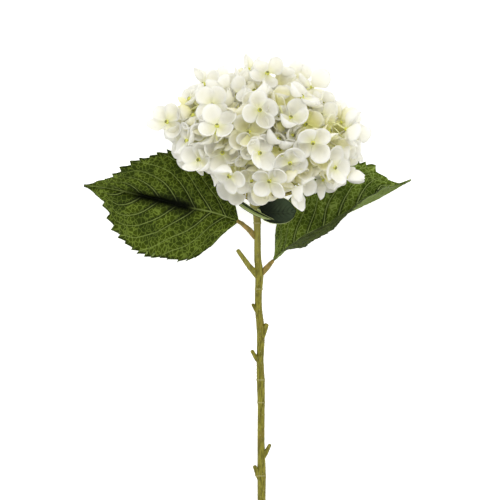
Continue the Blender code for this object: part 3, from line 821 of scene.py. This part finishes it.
LEAN_SEED = 7  # of the florets' leaning
SHALLOW = 0.0015  # a floret this far under its neighbours is still white
DEEP_ENOUGH = 0.005  # and one this much further in is as yellow as they get
NEIGHBOURS, OUTERMOST = 8, 3  # its nearest neighbours, and how many of them its depth is measured from

# Eye, facing and reach of the florets that hang over the top of the stem.
HANGING = (
    ((-0.0110, 0.1065, 0.0770), (-0.25, -0.45, 0.85), 0.0132),
    ((0.0015, 0.1040, 0.0830), (-0.10, -0.70, 0.70), 0.0125),
    ((0.0140, 0.1060, 0.1010), (0.10, -0.60, 0.80), 0.0120),
    ((0.0250, 0.1060, 0.1030), (0.20, -0.93, 0.30), 0.0118),
)

SEPAL_WHITES = (0.925, 0.920, 0.895), (0.955, 0.952, 0.940)
# Painted shade in the hollow of a sepal's spoon.
SEPAL_HOLLOW_SHADE = (0.790, 0.770, 0.640)
# A painted highlight along a sepal's rim.
SEPAL_RIM_HIGHLIGHT = (0.965, 0.963, 0.950)
# Cream of florets deep in the head: partly their own colour, partly painted warm bounce light.
SEPAL_CREAM = (0.970, 0.905, 0.420)
SEPAL_FOOT = (0.840, 0.830, 0.260)
SEPAL_GLOW = (0.970, 0.965, 0.920, 1)  # of the light that comes through
GLOW_SHARE = 0.55
# The crown's colour is painted shade, as of a hollow at the floret's eye.
BUD_GREEN, BUD_CROWN_SHADE, BUD_GRAIN = (0.640, 0.650, 0.100), (0.120, 0.115, 0.012), (0.700, 0.720, 0.250)


def florets_of(node):
    """(eye, facing, first sepal's direction, reach) of each floret in a CAD node."""
    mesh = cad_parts[node].data
    points = np.array([v.co for v in mesh.vertices])
    places, index = np.unique(points.round(6), axis=0, return_inverse=True)
    faces = index.reshape(-1)[np.array([p.vertices[:] for p in mesh.polygons])]
    found = []
    for eye in np.flatnonzero(np.bincount(faces.ravel()) == EYE_TRIANGLES):
        rim = np.setdiff1d(faces[(faces == eye).any(axis=1)], [eye])
        spokes = places[rim] - places[eye]
        facing = Vector(spokes.mean(axis=0)).normalized()
        flat = [Vector(s) - facing * Vector(s).dot(facing) for s in spokes]
        notch = min(flat, key=lambda spoke: spoke.length).normalized()
        sepal = Matrix.Rotation(math.pi / SEPALS, 3, facing) @ notch
        centre = Vector(places[eye]) - facing * SET_BACK
        reach = max(s.length for s in flat)
        if reach > SMALLEST_FLORET:
            found.append((centre, facing, sepal, reach))
    return found


def leaning(floret):
    """The floret, turned a little about its eye."""
    eye, facing, first, reach = floret
    lean = noise.random_vector() * FLORET_TILT
    turn = Matrix.Rotation(lean.length, 3, lean)
    return eye, turn @ facing, turn @ first, reach


def add_inner(group):
    """The florets of a spray, and three more between and behind them."""
    facing = sum((f for _, f, _, _ in group), Vector()).normalized()
    middle = sum((e for e, _, _, _ in group), Vector()) / len(group)
    inner = []
    for k, (eye, own, first, reach) in enumerate(group):
        other = group[k - 1][0]
        between = (eye + other) / 2
        place = between + INNER_SPLAY * (between - middle) - facing * INNER_DEPTH
        floret = (place, (own + facing).normalized(), first, INNER_SIZE * reach)
        inner.append(leaning(floret))
    return [leaning(floret) for floret in group] + inner


def pedicels_of(group, knot):
    """Lines from each floret's eye to the spray's fork, and on to the knot."""
    bends = [eye - facing * min(PEDICEL_STRAIGHT, 0.5 * (eye - knot).length) for eye, facing, _, _ in group]
    fork = (sum(bends, Vector()) / len(bends)).lerp(knot, FORK_SHARE)
    lines = []
    for (eye, facing, _, _), bend in zip(group, bends):
        start = (*(eye - facing * BUD_RADIUS), PEDICEL_TOP * PEDICEL_RADIUS)
        lines.append([start, (*bend, PEDICEL_RADIUS), (*fork, PEDICEL_RADIUS)])
    halfway = (*fork.lerp(knot, 0.5), STALK_SWELL * PEDICEL_RADIUS)
    lines.append([(*fork, FORK_SWELL * PEDICEL_RADIUS), halfway, (*knot, STALK_END)])
    return lines


def florets_piece(name, florets, all_eyes):
    """A point at each floret's eye, with what its sepals and its bud need to know."""
    eyes, facings, first_sepals, reaches = zip(*florets)
    mesh = bpy.data.meshes.new(name)
    mesh.from_pydata(eyes, [], [])
    deep = []
    for eye in np.array(eyes):
        outward = eye - all_eyes.mean(axis=0)
        outward /= np.linalg.norm(outward)
        nearest = np.argsort(np.linalg.norm(all_eyes - eye, axis=1))[1 : NEIGHBOURS + 1]
        further_out = np.sort((all_eyes[nearest] - eye) @ outward)[-OUTERMOST:].mean()
        deep.append(np.clip((further_out - SHALLOW) / DEEP_ENOUGH, 0, 1))
    set_attribute(mesh, "facing", facings, "FLOAT_VECTOR", "vector")
    set_attribute(mesh, "first_sepal", first_sepals, "FLOAT_VECTOR", "vector")
    set_attribute(mesh, "reach", [min(r * FLORET_GROWTH, LARGEST_FLORET) for r in reaches])
    set_attribute(mesh, "deep", deep)
    return new_piece(name, mesh)


def random(nodes, low, high, seed):
    return nodes.add("FunctionNodeRandomValue", {2: low, 3: high, 8: seed})


def turned(nodes, rotation, axis, angle):
    """The rotation, turned further about one of its own axes."""
    turn = nodes.add("FunctionNodeAxisAngleToRotation", {"Axis": axis, "Angle": angle})
    values = {"Rotation": rotation, "Rotate By": turn}
    return nodes.add("FunctionNodeRotateRotation", values, rotation_space="LOCAL")


def floret_rotation(nodes):
    """Turns +Z to the floret's facing and +Y to its first sepal."""
    facing, first = stored(nodes, "facing", "FLOAT_VECTOR"), stored(nodes, "first_sepal", "FLOAT_VECTOR")
    values = {"Primary Axis": facing, "Secondary Axis": first}
    return nodes.add("FunctionNodeAxesToRotation", values, primary_axis="Z", secondary_axis="Y")


def one_sepal(nodes, inputs):
    """A sepal of unit length along +Y, flat and round with a narrow foot. Bowl is 0 at its middle and 1 at
    its edge."""
    values = {"Size X": 2.0, "Size Y": 2.0, "Vertices X": SEPAL_ROWS, "Vertices Y": SEPAL_ROWS}
    grid = nodes.add("GeometryNodeMeshGrid", values)
    place = nodes.split(nodes.position())
    x, y = place.output("X"), place.output("Y")
    across = x * (1 - y * y / 2) ** 0.5
    outward = y * (1 - x * x / 2) ** 0.5
    along = outward * 0.5 + 0.5
    bowl = across * across + outward * outward
    for name, value in (("across", across), ("along", along), ("bowl", bowl)):
        grid = with_stored(nodes, grid, name, value)
    foot = inputs["Foot width"]
    width = inputs["Half width"] * (foot + (1 - foot) * stored(nodes, "along").smooth(0.0, 0.5))
    values = {0: stored(nodes, "across") * width, 1: stored(nodes, "along"), 2: 0.0}
    flat = nodes.add("ShaderNodeCombineXYZ", values)
    return nodes.add("GeometryNodeSetPosition", {"Geometry": grid, "Position": flat})


def sepal_tree(material):
    """Four sepals round each point, each with its own pitch, spoon and curl."""
    sizes = {
        "Half width": SEPAL_WIDTH,
        "Foot width": FOOT_WIDTH,
        "Pitch": SEPAL_PITCH,
        "Upper pitch": UPPER_PITCH,
        "Pitch spread": PITCH_SPREAD,
        "Spoon depth": SPOON_DEPTH,
        "Ripple": RIPPLE,
        "Sepal": material,
    }
    nodes, inputs = geometry_tree("Sepals", sizes)
    values = {"Geometry": inputs["Geometry"], "Amount": SEPALS}
    points = nodes.add("GeometryNodeDuplicateElements", values, domain="POINT")
    index = points.output("Duplicate Index")
    rotation = floret_rotation(nodes)
    spin = index * (2 * math.pi / SEPALS) + random(nodes, -SPIN_SPREAD, SPIN_SPREAD, 1)
    rotation = turned(nodes, rotation, (0, 0, 1), spin)
    spread = inputs["Pitch spread"]
    upper = inputs["Upper pitch"] * index.math("MODULO", index, 2.0)
    pitch = inputs["Pitch"] + upper + spread * random(nodes, -1.0, 1.0, 2)
    rotation = turned(nodes, rotation, (1, 0, 0), pitch)
    rotation = turned(nodes, rotation, (0, 1, 0), random(nodes, -ROLL_SPREAD, ROLL_SPREAD, 3))
    up = nodes.add("FunctionNodeRotateVector", {"Vector": (0, 0, 1), "Rotation": rotation})
    length = stored(nodes, "reach") * random(nodes, *LENGTH_RANGE, 4)
    points = with_stored(nodes, points, "up", up, "FLOAT_VECTOR")
    points = with_stored(nodes, points, "length", length)
    points = with_stored(nodes, points, "spoon", inputs["Spoon depth"] * random(nodes, *SPOON_RANGE, 5))
    points = with_stored(nodes, points, "curl", random(nodes, *CURL_RANGE, 6))
    values = {"Points": points, "Instance": one_sepal(nodes, inputs), "Rotation": rotation, "Scale": length}
    sepals = nodes.add("GeometryNodeInstanceOnPoints", values)
    sepals = nodes.add("GeometryNodeRealizeInstances", {"Geometry": sepals})

    bowl, along = stored(nodes, "bowl"), stored(nodes, "along")
    wave = nodes.noise(nodes.position(), RIPPLE_SCALE, 1.0) - 0.5
    height = stored(nodes, "curl") * along * along - stored(nodes, "spoon") * (1 - bowl)
    height = height + inputs["Ripple"] * 2 * wave * (0.25 + bowl)
    height = height * stored(nodes, "length")
    values = {0: stored(nodes, "up", "FLOAT_VECTOR"), "Scale": height}
    offset = nodes.add("ShaderNodeVectorMath", values, operation="SCALE")
    sepals = nodes.add("GeometryNodeSetPosition", {"Geometry": sepals, "Offset": offset})
    place = nodes.split(nodes.position())
    clear = place.output("Z").math("MAXIMUM", place.output("Z"), TABLE_GAP)
    kept = nodes.add("ShaderNodeCombineXYZ", {0: place.output("X"), 1: place.output("Y"), 2: clear})
    sepals = nodes.add("GeometryNodeSetPosition", {"Geometry": sepals, "Position": kept})
    end_tree(nodes, sepals, inputs["Sepal"])
    return nodes, sizes


def sepal_material():
    made, nodes = new_material("sepal")
    along, across, bowl, deep = (nodes.attribute(n) for n in ("along", "across", "bowl", "deep"))
    mottle = nodes.noise(nodes.own_place(), 130.0, 2.0)
    fan = nodes.add("ShaderNodeCombineXYZ", {0: across / (along + 0.15) * 9.0, 1: along * 1.5, 2: mottle})
    veins = nodes.noise(fan, 1.0, 1.0)
    colour = nodes.mix(veins.smooth(0.35, 0.62), *SEPAL_WHITES)
    # Painted shade in the hollow of each sepal's spoon.
    colour = nodes.mix((1 - bowl.smooth(0.0, 0.75)) * 0.40, colour, SEPAL_HOLLOW_SHADE)
    # Painted highlight along the rim.
    colour = nodes.mix(bowl.smooth(0.78, 1.0), colour, SEPAL_RIM_HIGHLIGHT)
    # Florets deep in the head turn cream, and green further up from the foot: partly their own colour, partly
    # painted warm light that bounces between the florets.
    yellow = (deep * 0.90 + mottle * 0.3 - 0.08) * (1 - 0.3 * bowl) * (1 - 0.5 * along.smooth(0.40, 0.95))
    colour = nodes.mix(yellow, colour, SEPAL_CREAM)
    foot = (1 - along.smooth(0.08, 0.45)) * (0.50 + 0.45 * deep)
    foot = foot.math("MAXIMUM", foot, (1 - along.smooth(0.20, 0.90)) * deep * 0.85)
    colour = nodes.mix(foot, colour, SEPAL_FOOT)
    relief = nodes.bump(veins, 0.25, 0.0003)
    roughness = 0.5 + 0.15 * mottle
    nodes.paint(Base_Color=colour, Roughness=roughness, Specular_IOR_Level=SHINE, Normal=relief)
    glow = nodes.add("ShaderNodeBsdfTranslucent", {"Color": SEPAL_GLOW})
    skin = Value(nodes, nodes.tree.nodes["Principled BSDF"].outputs[0])
    both = nodes.add("ShaderNodeMixShader", {0: GLOW_SHARE, 1: skin, 2: glow})
    nodes.tree.links.new(both.socket, nodes.tree.nodes["Material Output"].inputs["Surface"])
    return made


def bud_tree(material):
    """A small round bud at each point. Crown is 1 at its top and -1 underneath."""
    sizes = {"Radius": BUD_RADIUS, "Bud": material}
    nodes, inputs = geometry_tree("Buds", sizes)
    ball = nodes.add("GeometryNodeMeshUVSphere", {"Segments": BUD_SIDES, "Rings": BUD_RINGS, "Radius": 1.0})
    place = nodes.split(nodes.position())
    ball = with_stored(nodes, ball, "crown", place.output("Z"))
    values = {
        "Points": inputs["Geometry"],
        "Instance": ball,
        "Rotation": floret_rotation(nodes),
        "Scale": inputs["Radius"],
    }
    end_tree(nodes, nodes.add("GeometryNodeInstanceOnPoints", values), inputs["Bud"])
    return nodes, sizes


def bud_material():
    made, nodes = new_material("bud")
    grain = nodes.noise(nodes.own_place(), 1800.0, 1.0)
    # Painted shade at the bud's crown, as of a hollow at the floret's eye.
    colour = nodes.mix(nodes.attribute("crown").smooth(0.55, 0.85), BUD_GREEN, BUD_CROWN_SHADE)
    colour = nodes.mix(grain * 0.2, colour, BUD_GRAIN)
    nodes.paint(Base_Color=colour, Roughness=0.45 + 0.2 * grain)
    return made


noise.seed_set(LEAN_SEED)
sprays = {}
for node in sorted(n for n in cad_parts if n.startswith("floret_spray_")):
    group = florets_of(node)
    points = corners_of(node)
    knot = min(range(len(knots)), key=lambda k: np.linalg.norm(points - np.array(knots[k]), axis=1).min())
    sprays[node] = (knot, add_inner(group))
for eye, facing, reach in HANGING:
    place, facing = Vector(eye) + LEAF_SHIFT, Vector(facing).normalized()
    nearest = min(sprays.values(), key=lambda spray: min((e - place).length for e, _, _, _ in spray[1]))
    nearest[1].append((place, facing, facing.orthogonal().normalized(), reach))
all_eyes = np.array([eye for _, group in sprays.values() for eye, _, _, _ in group])

trees = {
    "sepals": (sepal_tree(sepal_material()), "sepal"),
    "buds": (bud_tree(bud_material()), "branch"),
}
pale_skin = stalk_material("pedicel_skin", light=(0.760, 0.760, 0.430), dark=(0.600, 0.600, 0.240))
pedicel_sizes = {**stalk_sizes, "Sides": PEDICEL_SIDES, "Steps": PEDICEL_STEPS, "Skin": pale_skin}
for k, knot in enumerate(knots):
    on_knot = {node: group for node, (place, group) in sprays.items() if place == k}
    if not on_knot:
        continue
    name = f"florets_{k + 1:02d}"
    florets = [floret for group in on_knot.values() for floret in group]
    for part, ((nodes, sizes), finish) in trees.items():
        piece = florets_piece(f"{name}_{part}", florets, all_eyes)
        grow(piece, nodes, sizes)
        if part == "sepals":
            wall = piece.modifiers.new("Wall", "SOLIDIFY")
            wall.thickness = SEPAL_THICKNESS
            wall.offset = 0
        make_plain(piece)
        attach(piece, "root")
        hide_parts(*on_knot)
    lines = [line for group in on_knot.values() for line in pedicels_of(group, knot)]
    pedicels = lines_piece(name + "_pedicels", lines)
    grow(pedicels, stalk_nodes, pedicel_sizes)
    make_plain(pedicels)
    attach(pedicels, "root")
    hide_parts(*on_knot)

# -------------------- table, light and camera
# A plain white table just under the flower, one large soft light high above it and past the head, a white
# room, and a camera that looks straight down.

TABLE_SIZE = 6.0
TABLE_DROP = 0.0001  # how far under the flower it lies
TABLE_WHITE = (0.93, 0.93, 0.93, 1)
TABLE_ROUGHNESS = 0.8
TABLE_GLOW = 0.6  # keeps the shadows on it faint
WHITE = (1, 1, 1, 1)
LIGHT_SIZE = 1.0
LIGHT_POWER = 10  # in watts
LIGHT_PLACE = (0.2, 0.95, 1.65)
ROOM_LIGHT = 0.94
SENSOR_WIDTH, LENS = 36, 228.6  # in millimetres
CAMERA_PLACE = (0.0021, 0.0573, 2.6)

work = bmesh.new()
bmesh.ops.create_grid(work, x_segments=1, y_segments=1, size=TABLE_SIZE / 2)
bmesh.ops.translate(work, verts=work.verts, vec=(0, 0, -TABLE_DROP))
table_mesh = bpy.data.meshes.new("table")
work.to_mesh(table_mesh)
work.free()
table = new_piece("table", table_mesh)
table_white, table_nodes = new_material("table_white")
table_nodes.paint(Base_Color=TABLE_WHITE, Roughness=TABLE_ROUGHNESS)
table_nodes.paint(Emission_Color=WHITE, Emission_Strength=TABLE_GLOW)
table.data.materials.append(table_white)

softbox = bpy.data.lights.new("softbox", "AREA")
softbox.shape = "SQUARE"
softbox.size = LIGHT_SIZE
softbox.energy = LIGHT_POWER
lamp = bpy.data.objects.new("softbox", softbox)
lamp.location = LIGHT_PLACE
lamp.rotation_euler = (-lamp.location).to_track_quat("-Z", "Y").to_euler()
bpy.context.scene.collection.objects.link(lamp)

room = bpy.data.worlds.new("room")
room.use_nodes = True
background = room.node_tree.nodes["Background"]
background.inputs["Color"].default_value = WHITE
background.inputs["Strength"].default_value = ROOM_LIGHT
bpy.context.scene.world = room
bpy.context.scene.view_settings.view_transform = "Standard"

camera_data = bpy.data.cameras.new("camera")
camera_data.sensor_width = SENSOR_WIDTH
camera_data.lens = LENS
camera = bpy.data.objects.new("camera", camera_data)
camera.location = CAMERA_PLACE
bpy.context.scene.collection.objects.link(camera)
bpy.context.scene.camera = camera
